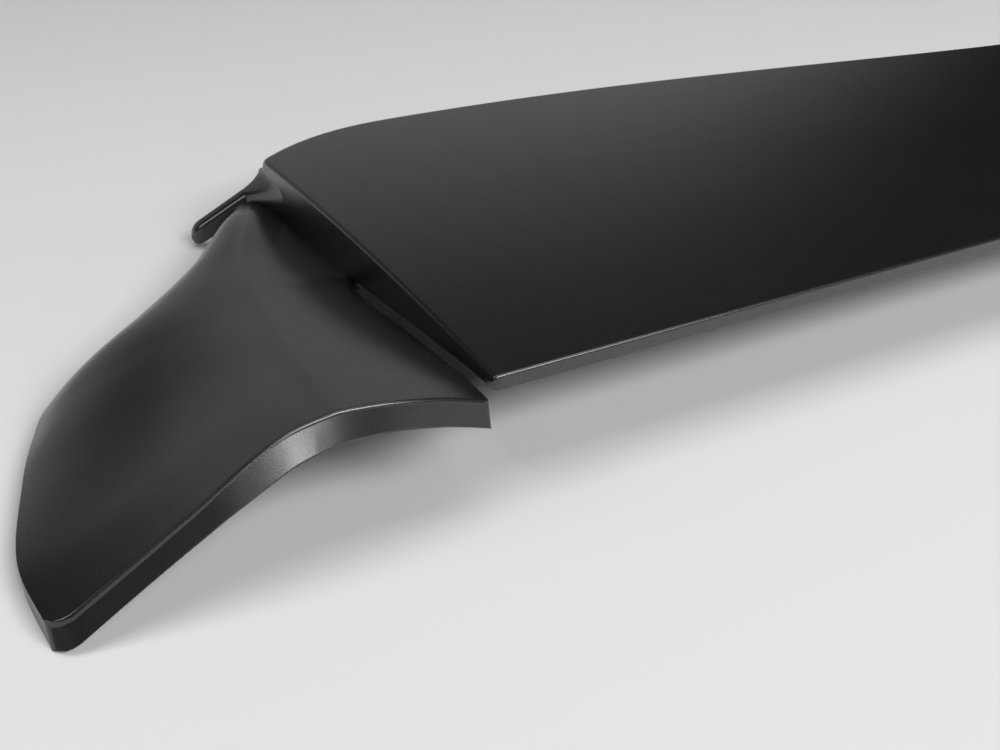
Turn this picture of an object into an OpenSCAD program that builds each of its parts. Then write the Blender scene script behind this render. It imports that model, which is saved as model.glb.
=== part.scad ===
// Boot-lid spoiler moulded in one piece: a wide blade with an upswept trailing edge, a leg at each end
// that drapes over the rear wing, and a short toe in front of each leg.
// X runs across the car, +Y points to the windscreen and +Z up.
// The origin is on the floor, under the middle of the whole part.

/* [Blade] */
// Width of the blade between its two cut ends
blade_w = 1160; // [1000:5:1300]
// Height of the blade's trailing edge above the floor
blade_h = 50; // [46:1:60]
// Depth of the blade, front to back, at its cut ends
chord_end = 259; // [230:1:280]
// Greatest depth of the blade, a hand's width in from each end
chord_max = 290; // [282:1:310]
// Depth of the blade in the middle of the car
chord_mid = 229; // [200:1:260]
// Length of the rounded run from the cut end to the greatest depth
corner_run = 88; // [60:1:120]
// Height of the flat face along the trailing edge
trail_face = 9; // [7:0.5:12]
// How far that face leans in at its foot
trail_lean = 3; // [0:0.5:5]
// Rise of the blade's top between its two long edges
crown = 3; // [0:0.5:6]
// Height of the blade's body at its front
body_t = 24; // [20:1:28]
// Radius of the shoulder along the leading edge
shoulder_r = 9; // [5:0.5:12]
// Reach of the thin front lip ahead of the shoulder
lip_reach = 14; // [10:1:20]
// Thickness of that lip at its tip
lip_t = 3; // [2:0.5:4]
// Rounding of the trailing edge
edge_r = 1.2; // [0.6:0.2:2]
// Rounding of the two cut ends, along their top edge
end_r = 1.6; // [0.8:0.2:2.4]
// Rounding of the cut ends along their foot
foot_r = 4.5; // [2.6:0.1:6]
// Rounding of the front corners, seen from above
corner_r = 4; // [2:0.5:8]
// How far the foot of a cut end reaches below the blade's flat base at its front corner
skirt = 7; // [4:0.5:9]

/* [Tape channel] */
// Width of the channel for the bonding tape, under the front of the blade
tape_w = 24; // [15:1:30]
// Depth of the channel
tape_d = 1.5; // [1:0.25:2]
// Land between the channel and the tip of the lip
tape_land = 8; // [5:0.5:12]
// Land between the channel and the blade's cut ends
tape_end = 14; // [10:1:30]

/* [Legs] */
// Reach of a leg beyond the cut end of the blade
leg_reach = 167; // [140:1:190]
// How far the leg's trailing flange stands behind the blade, at the tip
leg_back = 16; // [12:1:24]
// How much less it stands behind it at the slot
leg_skew = 8; // [4:0.5:10]
// Height of the leg's ridge above the blade's trailing edge, at the rear
ridge_up = 8; // [2:0.5:12]
// Fall of the ridge from there to the leg's front
ridge_fall = 30.5; // [26:0.5:34]
// Fall of the leg's inner edge below the blade's top, at the leg's front
inner_fall = 29; // [25:0.5:32]
// Distance from the blade's end to that ridge, at the rear
ridge_out = 63; // [50:1:80]
// Height of the leg's trailing flange beside the slot
leg_t = 11; // [9:0.5:13]
// Height of that flange on its outer half
flange_t = 8.5; // [7:0.5:12]
// Width of the slot between leg and blade, at the trailing edge
slot_w = 5; // [3:0.5:10]
// Length of the slot, from the trailing edge forward
slot_len = 128; // [90:1:150]
// Height of the top of the leg at its tip
tip_h = 9; // [7:0.5:14]
// How much of the tip's rear corner is rounded away
tip_cut = 8; // [4:1:16]

/* [Toes] */
// Reach of a toe beyond the cut end of the blade
toe_reach = 37; // [30:1:44]
// How far the toe's tip stands ahead of the cut end's front corner
toe_ahead = 20; // [14:1:30]
// Height of the toe at its tip
toe_t = 11; // [8:0.5:14]

/* [Inserts] */
// Distance between the two inner fixing points
insert_pitch_in = 380; // [260:10:460]
// Distance between the two outer fixing points
insert_pitch_out = 900; // [700:10:980]
// Distance from the blade's leading edge to the fixing points
insert_inset = 70; // [55:1:85]
// Outside diameter of an insert
insert_d = 10; // [8:0.5:12]
// Length of an insert
insert_len = 12; // [8:1:14]
// Core diameter of the M6 thread in an insert
thread_d = 5; // [4.8:0.1:5.2]
// Clearance all round an insert
insert_gap = 0.1; // [0.05:0.05:0.3]

/* [Hidden] */

half_w = blade_w / 2;
base_z = blade_h - body_t;
front_y = chord_max + lip_reach;
mid_y = (front_y - leg_back) / 2;

// Value between a and b
function mix(a, b, t) = a + (b - a) * t;
function clamp01(t) = min(max(t, 0), 1);
// Even start and stop between 0 and 1
function ease(t) = let (c = clamp01(t)) c * c * (3 - 2 * c);
// Smooth curve through a list of [position, value] pairs, in rising order
function slope_at(p, i) = i == 0 ? (p[1][1] - p[0][1]) / (p[1][0] - p[0][0])
    : i == len(p) - 1 ? (p[i][1] - p[i - 1][1]) / (p[i][0] - p[i - 1][0])
    : (p[i + 1][1] - p[i - 1][1]) / (p[i + 1][0] - p[i - 1][0]);
function span_of(p, x, i = 0) = i >= len(p) - 2 || x < p[i + 1][0] ? i : span_of(p, x, i + 1);
function through(p, x) =
    let (
        i = span_of(p, x),
        step = p[i + 1][0] - p[i][0],
        t = clamp01((x - p[i][0]) / step),
        a = slope_at(p, i) * step,
        b = slope_at(p, i + 1) * step,
        lo = p[i][1],
        hi = p[i + 1][1]
    )
    lo + a * t + (3 * (hi - lo) - 2 * a - b) * t * t + (a + b - 2 * (hi - lo)) * t * t * t;

// Skin over a row of closed rings that all have the same number of points
module skin(rings) {
    n = len(rings[0]);
    last = len(rings) - 1;
    points = [for (ring = rings) each ring];
    sides = [for (i = [0:last - 1], j = [0:n - 1], k = [0, 1])
        let (
            a = i * n + j,
            b = i * n + (j + 1) % n
        )
        k == 0 ? [a, b, b + n] : [a, b + n, a + n]];
    caps = [[for (j = [n - 1:-1:0]) j], [for (j = [0:n - 1]) last * n + j]];
    polyhedron(points = points, faces = concat(sides, caps), convexity = 6);
}

// How far a rounded edge of radius r draws in at a distance s from the cut end
function inset_at(s, r) = s >= r ? 0 : r - sqrt(r * r - pow(r - s, 2));

// Depth of the blade at a distance s in from its cut end
mid_run = half_w - corner_run;
function chord(s) = s < corner_run
    ? chord_max - (chord_max - chord_end) * pow(1 - s / corner_run, 2.4) - inset_at(s, corner_r)
    : chord_mid + (chord_max - chord_mid)
        * pow(sin(90 * clamp01((half_w - s) / mid_run)), 1.5);

// Height of the blade's top and underside at a share t of its depth.
// The underside rises steadily from the flat base to the thin trailing edge.
function top_z(t) = blade_h + crown * 4 * t * (1 - t);
sweep_share = 0.64;
function under_z(t) = through([[0, blade_h - trail_face], [sweep_share * 0.28,
    mix(blade_h - trail_face, base_z, 0.2)], [sweep_share * 0.8,
    mix(blade_h - trail_face, base_z, 0.76)], [sweep_share, base_z]], t);

// The foot of a cut end is rounded along the slot. Ahead of the slot it runs down into the leg and toe.
skirt_run = tape_end - 1;
function foot_share(y) = mix(1, 0.15, ease((y - slot_len) / 30));
function lift(y, s) = inset_at(s, foot_r) * foot_share(y)
    - skirt * pow(clamp01((y - slot_len) / (chord_end - slot_len)), 1.2) * (1 - ease(s / skirt_run));

// Outline of the blade, cut front to back at a distance s in from its cut end
top_steps = 10;
arc_steps = 5;
sweep_steps = 11;
function blade_ring(x, s) =
    let (
        c = chord(s),
        i = inset_at(s, end_r),
        j = inset_at(s, foot_r),
        d = tape_d * ease((s - tape_end) / tape_d / 4),
        flat = c - shoulder_r,
        nose = c + lip_reach,
        tape_front = nose - tape_land,
        tape_back = tape_front - tape_w
    )
    concat(
        [[x, trail_lean + j, under_z(0) + j], [x, i, blade_h - edge_r - i], [x, edge_r + i, blade_h - i]],
        [for (k = [1:top_steps]) let (t = k / top_steps) [x, (flat - i) * t, top_z(t) - i]],
        [for (k = [1:arc_steps]) let (a = 55 * k / arc_steps)
            [x, flat + shoulder_r * sin(a) - i, blade_h - shoulder_r * (1 - cos(a)) - i]],
        [[x, nose - lip_t / 2, base_z + lip_t + lift(nose, s)],
            [x, nose, base_z + lip_t / 2 + lift(nose, s)],
            [x, nose - lip_t / 2, base_z + lift(nose, s)]],
        [[x, tape_front, base_z + lift(tape_front, s)],
            [x, tape_front - tape_d, base_z + d + lift(tape_front, s)],
            [x, tape_back + tape_d, base_z + d + lift(tape_back, s)],
            [x, tape_back, base_z + lift(tape_back, s)]],
        [for (k = [sweep_steps:-1:1]) let (t = sweep_share * k / sweep_steps)
            [x, max(c * t, trail_lean + j), under_z(t) + lift(c * t, s)]]
    );

// Places of the outlines along the blade, close together at its rounded ends
end_steps = 3;
function end_stations() = concat(
    [for (k = [0:end_steps]) end_r * (1 - cos(90 * k / end_steps))],
    [for (k = [1:end_steps]) mix(end_r, foot_r, k / end_steps)]);
corner_steps = 8;
run_steps = 10;
function half_stations() = concat(end_stations(),
    [tape_end, tape_end + tape_d * 4],
    [for (k = [1:corner_steps]) mix(tape_end + tape_d * 4, corner_run, k / corner_steps)],
    [for (k = [1:run_steps]) mix(corner_run, half_w, k / run_steps)]);
function reversed(list) = [for (k = [len(list) - 2:-1:0]) list[k]];

module blade() {
    left = [for (s = half_stations()) blade_ring(s - half_w, s)];
    right = [for (s = reversed(half_stations())) blade_ring(half_w - s, s)];
    skin(concat(left, right));
}

// One leg, drawn outward from the blade's cut end at X = 0 towards +X.
// Its outlines run across the car, one behind the other, at a share p of its depth.
leg_front = chord_end - 5;
leg_depth = leg_front + leg_back;
function leg_y(p) = mix(-leg_back, leg_front, p);
slot_share = (slot_len + leg_back) / leg_depth;
root_sink = 5;
slot_nose = 0.05;
function inner_x(p) = p < slot_share ? mix(slot_w, 0.8, p / slot_share)
    : mix(0.8, -root_sink, ease((p - slot_share) / slot_nose));
function inner_z(p) = blade_h - inner_fall * through([[0, 0.18], [0.07, 0.21], [0.2, 0.345],
    [0.35, 0.52], [0.52, 0.69], [0.8, 0.9], [1, 1]], p);
function ridge_x(p) = ridge_out * through([[0, 1], [0.2, 0.94], [0.45, 0.82], [0.67, 0.67],
    [0.9, 0.29], [1, 0.14]], p);
function ridge_z(p) = blade_h + ridge_up - ridge_fall * through([[0, 0], [0.2, 0.24], [0.45, 0.525],
    [0.67, 0.705], [0.9, 0.835], [1, 1]], p);
function outer_x(p) = leg_reach * through([[0, 0.985], [0.17, 1], [0.35, 0.94], [0.45, 0.89],
    [0.54, 0.82], [0.62, 0.66], [0.69, 0.53], [0.77, 0.4], [0.86, 0.295], [0.94, 0.205],
    [1, 0.12]], p);
function outer_z(p) = tip_h * through([[0, 0.9], [0.5, 1], [0.75, 1.33], [1, 2]], p);

// Share of the height gained from the inner edge to the ridge, and lost from there outward
function rise(t) = through([[0, 0], [0.3, 0.4], [0.63, 0.76], [0.88, 0.97], [1, 1]], t);
function fall(t) = through([[0, 0], [0.14, 0.05], [0.22, 0.11], [0.33, 0.226], [0.51, 0.45],
    [1, 1]], t);
function drape(t, p) = mix(fall(t), pow(t, 4.3), ease((p - 0.15) / 0.5));
// Thickness from the ridge outward
function wall(t, p) = mix(through([[0, leg_t], [0.3, leg_t], [0.45, mix(leg_t, flange_t, 0.7)],
    [0.6, flange_t], [0.8, flange_t], [1, tip_h]], t), leg_t * (1 - 0.4 * t), ease(p / 0.5));

in_steps = 8;
out_steps = 12;
function leg_top(p) =
    let (
        a = [inner_x(p), inner_z(p)],
        b = [ridge_x(p), ridge_z(p)],
        c = [outer_x(p), outer_z(p)]
    )
    concat(
        [for (k = [0:in_steps - 1]) let (t = k / in_steps)
            [mix(a[0], b[0], t), mix(a[1], b[1], rise(t)), leg_t]],
        [for (k = [0:out_steps]) let (t = k / out_steps)
            [mix(b[0], c[0], t), mix(b[1], c[1], drape(t, p)), wall(t, p)]]
    );
function leg_ring(p) =
    let (
        top = leg_top(p),
        n = len(top)
    )
    concat(
        [for (k = [0:n - 1]) [top[k][0], skewed_y(top[k][0], p), top[k][1]]],
        [for (k = [n - 1:-1:0]) [top[k][0], skewed_y(top[k][0], p), max(top[k][1] - top[k][2], 0)]]
    );
// The same outline at the leg's front, drawn in and moved ahead to close its nose
nose_reach = 6;
nose_share = 0.35;
function nose_ring() = let (middle = [outer_x(1) / 2, leg_front, ridge_z(1) - leg_t / 2])
    [for (point = leg_ring(1)) mix(point, middle, nose_share) + [0, nose_reach, 0]];
// The flange runs at a slant to the blade, and the tip's rear corner is cut back
tip_share = 0.93;
function skewed_y(x, p) = leg_y(p) + leg_skew * (1 - x / leg_reach) * pow(1 - p, 2)
    + tip_cut * pow(clamp01((x / leg_reach - tip_share) / (1 - tip_share)), 2) * pow(1 - p, 12);
// Places of the outlines along the leg's depth, close together at its rounded tip
leg_steps = 20;
leg_places = concat([0, 0.02], [for (k = [1:leg_steps]) k / leg_steps]);
module leg() {
    skin(concat([nose_ring()], [for (k = [len(leg_places) - 1:-1:0]) leg_ring(leg_places[k])]));
}

// Toe: the foot of the cut end drawn out, forward and down to the floor, as a chain of rounded beads.
// Each bead is [centre, radii].
toe_y = chord_end + toe_ahead;
toe_w = toe_t * 0.8;
toe_beads = [
    [[-body_t * 0.6, chord_end - toe_w, base_z + body_t * 0.35], [toe_w, toe_w * 1.3, body_t * 0.45]],
    [[-end_r / 2, chord_end - 1, base_z + body_t * 0.2], [toe_w / 2, toe_w, body_t * 0.59]],
    [[toe_reach * 0.22, mix(chord_end, toe_y, 0.25), base_z - 2], [toe_w / 2, toe_w * 0.55, toe_t * 0.59]],
    [[toe_reach * 0.57, mix(chord_end, toe_y, 0.55), mix(base_z, toe_t / 2, 0.52)],
        [toe_w / 2, toe_w / 2, toe_t * 0.45]],
    [[toe_reach - toe_t / 2, toe_y - toe_w / 2, toe_t / 2], [toe_t / 2, toe_w / 2, toe_t / 2]]
];
module toe_bead(bead) {
    translate(bead[0]) scale(bead[1]) sphere(r = 1, $fn = 20);
}
module toe() {
    for (k = [1:len(toe_beads) - 1]) hull() {
        toe_bead(toe_beads[k - 1]);
        toe_bead(toe_beads[k]);
    }
}

module placed() {
    translate([0, -mid_y, 0]) children();
}

// Fixing points, numbered from left to right
insert_xs = [-insert_pitch_out / 2, -insert_pitch_in / 2, insert_pitch_in / 2, insert_pitch_out / 2];
function insert_y(x) = chord(half_w - abs(x)) - insert_inset;
module at_insert(i) {
    translate([insert_xs[i - 1], insert_y(insert_xs[i - 1]), base_z]) children();
}
module threaded_insert(i) {
    color("goldenrod")
        placed() at_insert(i) difference() {
            cylinder(d = insert_d, h = insert_len, $fn = 48);
            translate([0, 0, -1]) cylinder(d = thread_d, h = insert_len + 2, $fn = 48);
        }
}

module spoiler_shell() {
    color([0.07, 0.07, 0.075])
        placed() difference() {
            union() {
                blade();
                for (side = [-1, 1]) scale([side, 1, 1]) translate([half_w, 0, 0]) {
                    leg();
                    toe();
                }
            }
            for (i = [1:len(insert_xs)]) at_insert(i)
                translate([0, 0, -1])
                    cylinder(d = insert_d + 2 * insert_gap, h = insert_len + 1 + insert_gap, $fn = 48);
        }
}

spoiler_shell();
threaded_insert(1);  // threaded_insert_1
threaded_insert(2);  // threaded_insert_2
threaded_insert(3);  // threaded_insert_3
threaded_insert(4);  // threaded_insert_4
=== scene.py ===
import math

import bmesh
import bpy
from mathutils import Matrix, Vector


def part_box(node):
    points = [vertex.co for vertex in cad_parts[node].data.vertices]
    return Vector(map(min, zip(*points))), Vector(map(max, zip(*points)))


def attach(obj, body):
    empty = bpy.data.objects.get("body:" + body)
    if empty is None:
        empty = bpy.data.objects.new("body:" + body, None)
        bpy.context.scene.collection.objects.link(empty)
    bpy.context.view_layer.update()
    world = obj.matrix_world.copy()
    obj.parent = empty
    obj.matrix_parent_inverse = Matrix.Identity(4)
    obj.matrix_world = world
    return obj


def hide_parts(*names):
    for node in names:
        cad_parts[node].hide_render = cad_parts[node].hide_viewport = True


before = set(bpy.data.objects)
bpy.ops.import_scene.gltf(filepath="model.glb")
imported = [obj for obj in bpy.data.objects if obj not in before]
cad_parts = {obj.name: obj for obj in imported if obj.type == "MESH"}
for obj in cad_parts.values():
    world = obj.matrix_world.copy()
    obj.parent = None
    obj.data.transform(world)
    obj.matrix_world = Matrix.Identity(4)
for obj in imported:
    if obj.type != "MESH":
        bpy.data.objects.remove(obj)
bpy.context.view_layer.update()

# The moulding: one body of black plastic, flatted to a satin finish, screwed and taped to the boot lid.
# The blade, the two legs that drape over the rear wings and the two toes come out of one mould.
# All its lengths are in millimetres, with the trailing edge at Y = 0 and the floor at Z = 0.
MM = 0.001

BLADE_W = 1160.0
BLADE_H = 50.0
CHORD_END = 259.0
CHORD_MAX = 290.0
CHORD_MID = 229.0
CORNER_RUN = 88.0
TRAIL_FACE = 9.0
TRAIL_LEAN = 3.0
TRAIL_R = 1.2
CROWN = 3.0
BODY_T = 24.0
SHOULDER_R = 9.0
LIP_REACH = 14.0
LIP_T = 3.0
END_R = 1.6
FOOT_R = 4.5
CORNER_R = 4.0
SKIRT = 7.0
SLOT_LEN = 128.0
TAPE_W = 24.0
TAPE_D = 1.5
TAPE_LAND = 8.0
TAPE_END = 14.0
SWEEP_SHARE = 0.64
HALF_W = BLADE_W / 2
BASE_Z = BLADE_H - BODY_T
LEG_BACK = 16.0
MID_Y = (CHORD_MAX + LIP_REACH - LEG_BACK) / 2


def mix(a, b, t):
    return a + (b - a) * t


def ease(t):
    t = min(max(t, 0.0), 1.0)
    return t * t * (3 - 2 * t)


def through(points, x):
    """Smooth curve through a rising list of (position, value) pairs."""
    last = len(points) - 1

    def slope(i):
        a, b = max(i - 1, 0), min(i + 1, last)
        return (points[b][1] - points[a][1]) / (points[b][0] - points[a][0])

    i = 0
    while i < last - 1 and x >= points[i + 1][0]:
        i += 1
    step = points[i + 1][0] - points[i][0]
    t = min(max((x - points[i][0]) / step, 0.0), 1.0)
    a, b = slope(i) * step, slope(i + 1) * step
    lo, hi = points[i][1], points[i + 1][1]
    return lo + a * t + (3 * (hi - lo) - 2 * a - b) * t**2 + (a + b - 2 * (hi - lo)) * t**3


def inset(s, r):
    """How far an edge of radius r draws in at a distance s from the cut end."""
    return 0.0 if s >= r else r - math.sqrt(r * r - (r - s) ** 2)


def chord(s):
    """Depth of the blade at a distance s in from its cut end."""
    if s < CORNER_RUN:
        lost = (CHORD_MAX - CHORD_END) * (1 - s / CORNER_RUN) ** 2.4
        return CHORD_MAX - lost - inset(s, CORNER_R)
    share = min((HALF_W - s) / (HALF_W - CORNER_RUN), 1.0)
    return CHORD_MID + (CHORD_MAX - CHORD_MID) * math.sin(math.pi / 2 * share) ** 1.5


def under_z(t):
    rear = BLADE_H - TRAIL_FACE
    return through([(0, rear), (SWEEP_SHARE * 0.28, mix(rear, BASE_Z, 0.2)),
                    (SWEEP_SHARE * 0.8, mix(rear, BASE_Z, 0.76)), (SWEEP_SHARE, BASE_Z)], t)


def lift(y, s):
    """Rise of the underside at the rounded foot of a cut end, or its fall into the leg and toe."""
    rounding = inset(s, FOOT_R) * mix(1, 0.15, ease((y - SLOT_LEN) / 30))
    along = min(max((y - SLOT_LEN) / (CHORD_END - SLOT_LEN), 0.0), 1.0)
    return rounding - SKIRT * along**1.2 * (1 - ease(s / (TAPE_END - 1)))


def arc(cy, cz, r, start, end, steps):
    """Points of a round edge in the fore-and-aft plane, by angle from +Y towards +Z."""
    angles = [math.radians(mix(start, end, k / steps)) for k in range(steps + 1)]
    return [(cy + r * math.cos(a), cz + r * math.sin(a)) for a in angles]


def blade_outline(s):
    """Outline of the blade at a distance s in from its cut end, as (y, z) points."""
    c, top, foot = chord(s), inset(s, END_R), inset(s, FOOT_R)
    flat, nose = c - SHOULDER_R, c + LIP_REACH
    tape_front = nose - TAPE_LAND
    tape_back = tape_front - TAPE_W
    tape_d = TAPE_D * ease((s - TAPE_END) / TAPE_D / 4)
    points = [(TRAIL_LEAN + foot + 0.8, under_z(0) + foot), (TRAIL_LEAN + foot, under_z(0) + foot + 0.8)]
    points += arc(TRAIL_R + top, BLADE_H - TRAIL_R - top, TRAIL_R, 180, 90, 5)
    for k in range(1, 41):
        t = k / 40
        points.append((mix(TRAIL_R + top, flat - top, t), BLADE_H + CROWN * 4 * t * (1 - t) - top))
    points += arc(flat - top, BLADE_H - SHOULDER_R - top, SHOULDER_R, 90, 35, 8)[1:]
    low = BASE_Z + lift(nose, s)
    points.append((nose - LIP_T * 0.6, low + LIP_T))
    points += arc(nose - LIP_T / 2, low + LIP_T / 2, LIP_T / 2, 50, -90, 6)
    points += [(tape_front, BASE_Z + lift(tape_front, s)),
               (tape_front - TAPE_D, BASE_Z + tape_d + lift(tape_front, s)),
               (tape_back + TAPE_D, BASE_Z + tape_d + lift(tape_back, s)),
               (tape_back, BASE_Z + lift(tape_back, s))]
    for k in range(36, 0, -1):
        t = SWEEP_SHARE * k / 36
        points.append((max(c * t, TRAIL_LEAN + foot + 1.2), under_z(t) + lift(c * t, s)))
    return points


def loft(rings, paired=False):
    """Closed mesh over rings of equal length. An end that isn't flat is a strip between its two halves."""
    n = len(rings[0])
    verts = [p for ring in rings for p in ring]
    faces = [(i * n + j, i * n + (j + 1) % n, (i + 1) * n + (j + 1) % n, (i + 1) * n + j)
             for i in range(len(rings) - 1) for j in range(n)]
    for start in (0, (len(rings) - 1) * n):
        strip = [(j, j + 1, n - 2 - j, n - 1 - j) for j in range((n - 1) // 2)] if paired else [range(n)]
        faces += [tuple(dict.fromkeys(start + j for j in ends)) for ends in strip]
    return verts, faces


def solid(name, verts, faces):
    """Object from points in millimetres, moved to the frame's origin under the middle of the part."""
    mesh = bpy.data.meshes.new(name)
    mesh.from_pydata([Vector((x, y - MID_Y, z)) * MM for x, y, z in verts], [], faces)
    mesh.validate()
    bm = bmesh.new()
    bm.from_mesh(mesh)
    bmesh.ops.recalc_face_normals(bm, faces=bm.faces)
    bm.to_mesh(mesh)
    bm.free()
    obj = bpy.data.objects.new(name, mesh)
    bpy.context.scene.collection.objects.link(obj)
    return obj


def blade_stations():
    round_end = [FOOT_R * (1 - math.cos(math.radians(90 * k / 10))) for k in range(11)]
    channel = [TAPE_END, TAPE_END + TAPE_D * 2, TAPE_END + TAPE_D * 4]
    corner = [mix(channel[-1], CORNER_RUN, k / 14) for k in range(1, 15)]
    run = [mix(CORNER_RUN, HALF_W, k / 34) for k in range(1, 35)]
    return round_end + channel + corner + run


half = [(s - HALF_W, s) for s in blade_stations()]
stations = half + [(-x, s) for x, s in reversed(half[:-1])]
blade = solid("blade", *loft([[(x, y, z) for y, z in blade_outline(s)] for x, s in stations]))

# The legs: each drapes from the blade's front corner down over the wing to a rounded tip.
# Its section runs across the car: inner edge, soft ridge, outer edge; its rear end is a flat flange.
LEG_SKEW = 8.0
LEG_REACH = 167.0
RIDGE_UP = 8.0
RIDGE_FALL = 30.5
INNER_FALL = 29.0
RIDGE_OUT = 63.0
LEG_T = 11.0
FLANGE_T = 8.5
SLOT_W = 5.0
SLOT_END_W = 0.8
TIP_H = 9.0
TIP_CUT = 10.0
TIP_SHARE = 0.93
LEAN_IN, LEAN_OUT = 2.4, 5.2
LEAN_FROM, LEAN_RUN = 32.0, 56.0
CREASE = 0.02
CREASE_RUN = 0.06
DRAPE = 3.4
LEG_FRONT = CHORD_END - 5
LEG_DEPTH = LEG_FRONT + LEG_BACK
SLOT_SHARE = (SLOT_LEN + LEG_BACK) / LEG_DEPTH
SLOT_NOSE = 0.05
ROOT_SINK = 5.0
FLANGE_R = 1.6
NOSE_REACH = 6.0
LEG_ROWS = 84
IN_STEPS = 22
OUT_STEPS = 40


def inner_x(p):
    if p < SLOT_SHARE:
        return mix(SLOT_W, SLOT_END_W, p / SLOT_SHARE)
    return mix(SLOT_END_W, -ROOT_SINK, ease((p - SLOT_SHARE) / SLOT_NOSE))


def inner_z(p):
    return BLADE_H - INNER_FALL * through([(0, 0.18), (0.07, 0.21), (0.2, 0.345), (0.35, 0.52),
                                           (0.52, 0.69), (0.8, 0.9), (1, 1)], p)


def ridge_x(p):
    return RIDGE_OUT * through([(0, 1), (0.2, 0.94), (0.45, 0.82), (0.67, 0.67), (0.9, 0.29),
                                (1, 0.14)], p)


def ridge_z(p):
    return BLADE_H + RIDGE_UP - RIDGE_FALL * through([(0, 0), (0.2, 0.24), (0.45, 0.525),
                                                      (0.67, 0.705), (0.9, 0.835), (1, 1)], p)


def outer_x(p):
    return LEG_REACH * through([(0, 0.985), (0.17, 1), (0.35, 0.94), (0.45, 0.89), (0.54, 0.82),
                                (0.62, 0.66), (0.69, 0.53), (0.77, 0.4), (0.86, 0.295),
                                (0.94, 0.205), (1, 0.12)], p)


def outer_z(p):
    return TIP_H * through([(0, 0.9), (0.5, 1), (0.75, 1.33), (1, 2)], p)


def rise(t):
    return through([(0, 0), (0.3, 0.48), (0.63, 0.84), (0.88, 0.98), (1, 1)], t)


def fall(t, p):
    """Share of the fall from ridge to outer edge, straighter at the rear and later ahead of it."""
    rear = through([(0, 0), (0.14, 0.05), (0.22, 0.11), (0.33, 0.226), (0.51, 0.45), (1, 1)], t)
    return mix(rear, t**DRAPE, ease((p - 0.15) / 0.5))


def wall(t, p):
    """Thickness from ridge to outer edge: at the rear it thins into the flange."""
    rear = through([(0, LEG_T), (0.3, LEG_T), (0.45, mix(LEG_T, FLANGE_T, 0.7)), (0.6, FLANGE_T),
                    (0.8, FLANGE_T), (1, TIP_H)], t)
    return mix(rear, LEG_T * (1 - 0.4 * t), ease(p / 0.5))


def crease(t, p):
    """Drop just outside the ridge, which dies out towards the outer edge and the flange."""
    drop = CREASE * (outer_x(p) - ridge_x(p)) * (1 - math.exp(-t / CREASE_RUN)) * (1 - t)**2
    return drop * ease(p / 0.3)


def leg_section(p, drawn_in):
    """Closed (x, z) outline of a leg at share p of its depth, drawn in on all sides."""
    top = []
    for k in range(IN_STEPS):
        t = k / IN_STEPS
        top.append((mix(inner_x(p), ridge_x(p), t), mix(inner_z(p), ridge_z(p), rise(t)), LEG_T))
    for k in range(OUT_STEPS + 1):
        t = k / OUT_STEPS
        top.append((mix(ridge_x(p), outer_x(p), t),
                    mix(ridge_z(p), outer_z(p), fall(t, p)) - crease(t, p), wall(t, p)))
    left, right = top[0][0], top[-1][0]
    squeeze = (right - left - 2 * drawn_in) / (right - left)
    upper, lower = [], []
    for x, z, thick in top:
        foot = max(z - thick, 0.0)
        inset = min(drawn_in, (z - foot) * 0.45)
        x = left + drawn_in + (x - left) * squeeze
        upper.append((x, z - inset))
        lower.append((x, foot + inset))
    return upper + lower[::-1]


def leg_rings():
    """Share of the leg's depth, drawing-in and step ahead of each outline, from tail to nose."""
    rings = []
    for k in range(7):
        a = math.radians(90 * k / 6)
        rings.append((FLANGE_R * (1 - math.cos(a)) / LEG_DEPTH, FLANGE_R * (1 - math.sin(a)), 0.0))
    rings += [(mix(rings[6][0], 1, k / LEG_ROWS), 0.0, 0.0) for k in range(1, LEG_ROWS + 1)]
    for k in range(1, 7):
        a = math.radians(90 * k / 6)
        rings.append((1.0, NOSE_REACH * 0.7 * (1 - math.cos(a)), NOSE_REACH * math.sin(a)))
    return rings


def leg_points(side):
    """Rings of a leg with its skewed tail, the lean of the flange's top edge and the cut tip corner."""
    rings = []
    for p, drawn_in, ahead in leg_rings():
        y = mix(-LEG_BACK, LEG_FRONT, p) + ahead
        section = leg_section(p, drawn_in)
        ring = []
        for k, (x, z) in enumerate(section):
            slant = LEG_SKEW * (1 - x / LEG_REACH) * (1 - p) ** 2
            corner = max((x / LEG_REACH - TIP_SHARE) / (1 - TIP_SHARE), 0.0)
            lean = 0.0
            if k < len(section) / 2:
                lean = mix(LEAN_IN, LEAN_OUT, ease((x - LEAN_FROM) / LEAN_RUN)) * (1 - p) ** 10
            y_point = y + slant + lean + TIP_CUT * corner**2 * (1 - p) ** 12
            ring.append((side * (HALF_W + x), y_point, z))
        rings.append(ring)
    return rings


legs = [solid("leg", *loft(leg_points(side), paired=True)) for side in (-1, 1)]

# The toes: the front of each cut end turns outward and runs down to the floor as a slim strap.
# A wide fillet leads from the flat end wall into the strap, whose tip is rounded.
TOE_REACH = 37.0
TOE_AHEAD = 20.0
TOE_H = 11.0
TOE_W = TOE_H * 0.8
TOE_SIDES = 48
FILLET = 9.0
TOE_Y = CHORD_END + TOE_AHEAD


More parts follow.
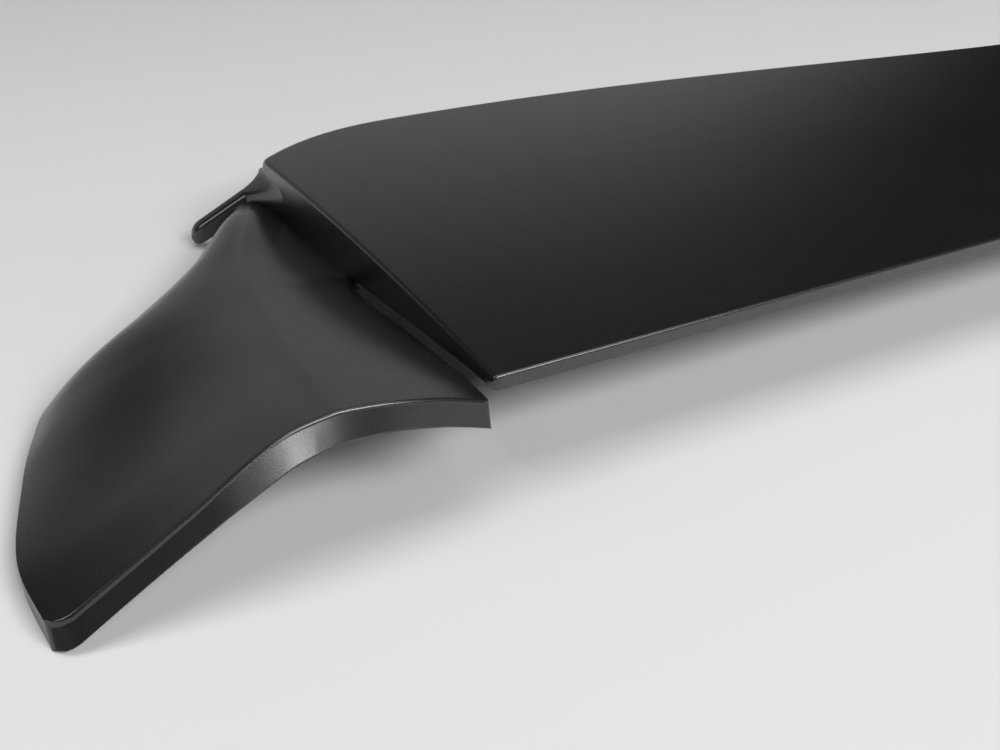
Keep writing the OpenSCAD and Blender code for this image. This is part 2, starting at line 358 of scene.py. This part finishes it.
def toe_sections():
    """Rows of (x, y, z, half width, half height), from inside the cut end to the tip."""
    root = (CHORD_END - 18, BASE_Z + 4.6, 24.0, 14.6)
    strap = (CHORD_END + 5, BASE_Z - 2, TOE_W * 0.55, TOE_H * 0.59)
    tip = (TOE_Y - TOE_W / 2, TOE_H / 2, TOE_W / 2, TOE_H / 2)
    rows = [(-10.0, *root), (-0.3, *root)]
    for k in range(1, 17):
        a = math.radians(90 * k / 16)
        out = 1 - math.cos(a)
        share = (math.sin(a) + out) / 2
        rows.append((FILLET * out - 0.3 * (1 - out), *[mix(u, v, share) for u, v in zip(root, strap)]))
    for k in range(1, 31):
        t = k / 30
        round_off = math.sqrt(max(1 - max((t - 0.82) / 0.18, 0) ** 2, 0.0004))
        y, z, wide, high = [mix(u, v, t) for u, v in zip(strap, tip)]
        rows.append((mix(FILLET, TOE_REACH, t), y, z, wide * round_off, high * round_off))
    return rows


def squared(v):
    """Cosine or sine drawn out so that a ring has flat sides and rounded corners."""
    return math.copysign(abs(v)**0.55, v)


def toe_ring(side, x, y, z, wide, high):
    angles = [2 * math.pi * k / TOE_SIDES for k in range(TOE_SIDES)]
    return [(side * (HALF_W + x), y + wide * squared(math.cos(a)), z + high * squared(math.sin(a)))
            for a in angles]


toes = [solid("toe", *loft([toe_ring(side, *row) for row in toe_sections()])) for side in (-1, 1)]


def weld(body, parts, operation="UNION"):
    """Makes one closed moulding of the body and its parts, or cuts the parts out of it."""
    for part in parts:
        joined = body.modifiers.new("weld", "BOOLEAN")
        joined.operation = operation
        joined.solver = "EXACT"
        joined.object = part
    bpy.context.view_layer.objects.active = body
    for modifier in list(body.modifiers):
        bpy.ops.object.modifier_apply(modifier=modifier.name)
    for part in parts:
        bpy.data.objects.remove(part)


BORE_GAP = 0.1


def bore_rings(name):
    """Two rings round a blind hole that opens in the base, a little wider than its insert."""
    low, high = [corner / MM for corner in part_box(name)]
    r = (high.x - low.x) / 2 + BORE_GAP
    x, y = (low.x + high.x) / 2, (low.y + high.y) / 2 + MID_Y
    turns = [2 * math.pi * k / 48 for k in range(48)]
    return [[(x + r * math.cos(a), y + r * math.sin(a), z) for a in turns]
            for z in (low.z - 1, high.z + BORE_GAP)]


weld(blade, legs + toes)
inserts = [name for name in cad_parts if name.startswith("threaded_insert")]
weld(blade, [solid("bore", *loft(bore_rings(name))) for name in inserts], "DIFFERENCE")
shell = blade
shell.name = "spoiler_moulding"
shell.data.shade_smooth()
shell.data.set_sharp_from_angle(angle=math.radians(38))
weighted = shell.modifiers.new("even shading", "WEIGHTED_NORMAL")
weighted.keep_sharp = True


def satin_black():
    """Black plastic flatted to a satin skin: fine grain, faint ripple from the mould, uneven gloss."""
    mat = bpy.data.materials.new("satin_black_plastic")
    mat.use_nodes = True
    nodes, links = mat.node_tree.nodes, mat.node_tree.links
    shader = nodes["Principled BSDF"]
    shader.inputs["IOR"].default_value = 1.68
    place = nodes.new("ShaderNodeTexCoord")

    def noise(scale, detail):
        node = nodes.new("ShaderNodeTexNoise")
        node.inputs["Scale"].default_value = scale
        node.inputs["Detail"].default_value = detail
        links.new(place.outputs["Object"], node.inputs["Vector"])
        return node

    clouds, grain, ripple = noise(14, 3), noise(2600, 2), noise(60, 2)
    tint = nodes.new("ShaderNodeValToRGB")
    tint.color_ramp.elements[0].position = 0.3
    tint.color_ramp.elements[0].color = (0.0075, 0.0075, 0.0077, 1)
    tint.color_ramp.elements[1].position = 0.7
    tint.color_ramp.elements[1].color = (0.0095, 0.0095, 0.0097, 1)
    links.new(clouds.outputs["Fac"], tint.inputs["Fac"])
    links.new(tint.outputs["Color"], shader.inputs["Base Color"])
    gloss = nodes.new("ShaderNodeMapRange")
    gloss.inputs["To Min"].default_value = 0.24
    gloss.inputs["To Max"].default_value = 0.3
    links.new(grain.outputs["Fac"], gloss.inputs["Value"])
    links.new(gloss.outputs["Result"], shader.inputs["Roughness"])
    fine = nodes.new("ShaderNodeBump")
    fine.inputs["Strength"].default_value = 0.06
    fine.inputs["Distance"].default_value = 0.0001
    links.new(grain.outputs["Fac"], fine.inputs["Height"])
    wave = nodes.new("ShaderNodeBump")
    wave.inputs["Strength"].default_value = 0.05
    wave.inputs["Distance"].default_value = 0.001
    links.new(ripple.outputs["Fac"], wave.inputs["Height"])
    links.new(fine.outputs["Normal"], wave.inputs["Normal"])
    links.new(wave.outputs["Normal"], shader.inputs["Normal"])
    return mat


shell.data.materials.clear()
shell.data.materials.append(satin_black())
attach(shell, "root")
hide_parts("spoiler_shell")

# The inserts: four turned brass bushes, heat-set into the flat base before the body is finished.
# The screws that come up through the boot lid bite into their M6 threads.
INSERT_R = 5.0
INSERT_LEN = 12.0
NECK = 0.6
KNURL = 0.25
CORE_R = 2.5
THREAD_DEEP = 0.45
THREAD_PITCH = 1.0
THREAD_ROWS = 6
CHAMFER = 0.6
BUSH_SIDES = 48


def turned_brass():
    mat = bpy.data.materials.new("turned_brass")
    mat.use_nodes = True
    nodes, links = mat.node_tree.nodes, mat.node_tree.links
    shader = nodes["Principled BSDF"]
    shader.inputs["Metallic"].default_value = 1.0
    place = nodes.new("ShaderNodeTexCoord")
    lines = nodes.new("ShaderNodeTexNoise")
    lines.inputs["Scale"].default_value = 900
    links.new(place.outputs["Object"], lines.inputs["Vector"])
    tint = nodes.new("ShaderNodeValToRGB")
    tint.color_ramp.elements[0].color = (0.5, 0.35, 0.13, 1)
    tint.color_ramp.elements[1].color = (0.68, 0.52, 0.24, 1)
    links.new(lines.outputs["Fac"], tint.inputs["Fac"])
    links.new(tint.outputs["Color"], shader.inputs["Base Color"])
    gloss = nodes.new("ShaderNodeMapRange")
    gloss.inputs["To Min"].default_value = 0.22
    gloss.inputs["To Max"].default_value = 0.4
    links.new(lines.outputs["Fac"], gloss.inputs["Value"])
    links.new(gloss.outputs["Result"], shader.inputs["Roughness"])
    return mat


def bush_rings():
    """Rings of (radius, height) points: up the knurled outside, then down the threaded bore."""
    outside = [(0, INSERT_R - CHAMFER, 0), (CHAMFER, INSERT_R, 0), (1.2, INSERT_R, 0),
               (1.3, INSERT_R, KNURL), (4.6, INSERT_R, KNURL), (4.8, INSERT_R - NECK, 0),
               (7.2, INSERT_R - NECK, 0), (7.4, INSERT_R, KNURL), (11.2, INSERT_R, KNURL),
               (INSERT_LEN - CHAMFER, INSERT_R - 0.2, 0), (INSERT_LEN, INSERT_R - CHAMFER, 0)]
    rings = [[(r - teeth * (k % 2), z) for k in range(BUSH_SIDES)] for z, r, teeth in outside]
    rows = int((INSERT_LEN - 2 * CHAMFER) / THREAD_PITCH * THREAD_ROWS)
    rings.append([(CORE_R + CHAMFER, INSERT_LEN)] * BUSH_SIDES)
    for j in range(rows + 1):
        z = mix(INSERT_LEN - CHAMFER, CHAMFER, j / rows)
        ring = []
        for k in range(BUSH_SIDES):
            turn = (z / THREAD_PITCH - k / BUSH_SIDES) % 1
            ring.append((CORE_R + THREAD_DEEP * (1 - abs(2 * turn - 1)), z))
        rings.append(ring)
    rings.append([(CORE_R + CHAMFER, 0)] * BUSH_SIDES)
    return rings


def bush(name, foot):
    """Object of one bush whose lower face is centred on its foot."""
    rings = bush_rings()
    verts, faces = [], []
    for ring in rings:
        for k, (r, z) in enumerate(ring):
            a = 2 * math.pi * k / BUSH_SIDES
            verts.append(Vector((r * math.cos(a), r * math.sin(a), z)) * MM + foot)
    for i in range(len(rings)):
        here, above = i * BUSH_SIDES, (i + 1) % len(rings) * BUSH_SIDES
        faces += [(here + k, here + (k + 1) % BUSH_SIDES, above + (k + 1) % BUSH_SIDES, above + k)
                  for k in range(BUSH_SIDES)]
    mesh = bpy.data.meshes.new(name)
    mesh.from_pydata(verts, [], faces)
    obj = bpy.data.objects.new(name, mesh)
    bpy.context.scene.collection.objects.link(obj)
    mesh.shade_smooth()
    mesh.set_sharp_from_angle(angle=math.radians(30))
    return obj


brass = turned_brass()
for name in inserts:
    low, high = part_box(name)
    foot = Vector(((low[0] + high[0]) / 2, (low[1] + high[1]) / 2, low[2]))
    piece = bush("brass_bush_" + name[-1], foot)
    piece.data.materials.append(brass)
    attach(piece, "root")
    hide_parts(name)

# The stage: a pale matt floor, soft lamps overhead, in front and at the left, and a small one that lights
# the bend of the left flange. The camera stands at the photo's angle.
FLOOR_COLOR = (0.66, 0.665, 0.67, 1)
FLOOR_HALF = 12.0


def floor():
    mesh = bpy.data.meshes.new("floor")
    corners = [(-1, -1), (1, -1), (1, 1), (-1, 1)]
    mesh.from_pydata([(x * FLOOR_HALF, y * FLOOR_HALF, 0) for x, y in corners], [], [(0, 1, 2, 3)])
    obj = bpy.data.objects.new("floor", mesh)
    bpy.context.scene.collection.objects.link(obj)
    mat = bpy.data.materials.new("pale_floor")
    mat.use_nodes = True
    shader = mat.node_tree.nodes["Principled BSDF"]
    shader.inputs["Base Color"].default_value = FLOOR_COLOR
    shader.inputs["Roughness"].default_value = 0.9
    shader.inputs["Specular IOR Level"].default_value = 0.2
    mesh.materials.append(mat)
    return obj


floor()


def lamp(name, place, aim, width, depth, power):
    """Soft box at a place in metres, turned to its aim."""
    data = bpy.data.lights.new(name, "AREA")
    data.shape = "RECTANGLE"
    data.size = width
    data.size_y = depth
    data.energy = power
    obj = bpy.data.objects.new(name, data)
    obj.location = place
    obj.rotation_euler = (Vector(aim) - Vector(place)).to_track_quat("-Z", "Y").to_euler()
    bpy.context.scene.collection.objects.link(obj)


lamp("left_soft_box", (-2.6, 0.1, 1.2), (-0.6, 0, 0), 1.0, 1.0, 12)
lamp("front_soft_box", (0.1, -2.7, 2.1), (-0.45, 0, 0), 2.6, 1.1, 125)
lamp("top_soft_box", (-0.2, -0.1, 2.7), (-0.2, -0.1, 0), 3.2, 1.6, 36)
lamp("flange_glint", (-0.76, -1.98, 0.4), (-0.655, -0.156, 0.05), 0.14, 0.14, 2.8)


WALL_TURN = 5
WALL_EDGE, WALL_FULL = 48, 30
WALL_TOP, WALL_LOW = 35, 14
ROOM_DARK, WALL_BRIGHT = 0.02, 0.38
SEEN_BACKDROP = 0.62


def studio_world():
    """Dim room whose pale far wall, low behind the part, is what the glossy top mirrors."""
    world = bpy.data.worlds.new("studio")
    world.use_nodes = True
    nodes, links = world.node_tree.nodes, world.node_tree.links
    place = nodes.new("ShaderNodeTexCoord")

    def spread(direction, dark, bright, low, high):
        """Strength that climbs smoothly as the look turns towards a direction."""
        facing = nodes.new("ShaderNodeVectorMath")
        facing.operation = "DOT_PRODUCT"
        facing.inputs[1].default_value = direction
        links.new(place.outputs["Generated"], facing.inputs[0])
        band = nodes.new("ShaderNodeMapRange")
        band.interpolation_type = "SMOOTHSTEP"
        ends = {"From Min": dark, "From Max": bright, "To Min": low, "To Max": high}
        for socket, value in ends.items():
            band.inputs[socket].default_value = value
        links.new(facing.outputs["Value"], band.inputs["Value"])
        return band.outputs["Result"]

    turn = math.radians(WALL_TURN)
    sideways = spread((math.sin(turn), math.cos(turn), 0), math.cos(math.radians(WALL_EDGE)),
                      math.cos(math.radians(WALL_FULL)), ROOM_DARK, 1.0)
    height = spread((0, 0, -1), -math.sin(math.radians(WALL_TOP)),
                    -math.sin(math.radians(WALL_LOW)), ROOM_DARK, WALL_BRIGHT)
    wall_light = nodes.new("ShaderNodeMath")
    wall_light.operation = "MULTIPLY"
    links.new(sideways, wall_light.inputs[0])
    links.new(height, wall_light.inputs[1])
    seen = nodes.new("ShaderNodeLightPath")
    shade = nodes.new("ShaderNodeMix")
    shade.inputs["B"].default_value = SEEN_BACKDROP
    links.new(seen.outputs["Is Camera Ray"], shade.inputs["Factor"])
    links.new(wall_light.outputs["Value"], shade.inputs["A"])
    links.new(shade.outputs["Result"], nodes["Background"].inputs["Strength"])
    nodes["Background"].inputs["Color"].default_value = (1, 1, 1, 1)
    return world


bpy.context.scene.world = studio_world()

CAMERA_FOOT = (-755.8, -326.9 - MID_Y)
CAMERA_Z = 268.7
PITCH, YAW = 30.4, 28.6
FOCAL_PX, IMAGE_W = 1200, 1000

camera_data = bpy.data.cameras.new("camera")
camera_data.sensor_width = 36
camera_data.lens = FOCAL_PX / IMAGE_W * camera_data.sensor_width
camera_data.clip_start = 0.01
camera = bpy.data.objects.new("camera", camera_data)
camera.location = Vector((CAMERA_FOOT[0], CAMERA_FOOT[1], CAMERA_Z)) * MM
camera.rotation_euler = (math.radians(90 - PITCH), 0, math.radians(-YAW))
bpy.context.scene.collection.objects.link(camera)
bpy.context.scene.camera = camera

bpy.context.scene.view_settings.view_transform = "Standard"
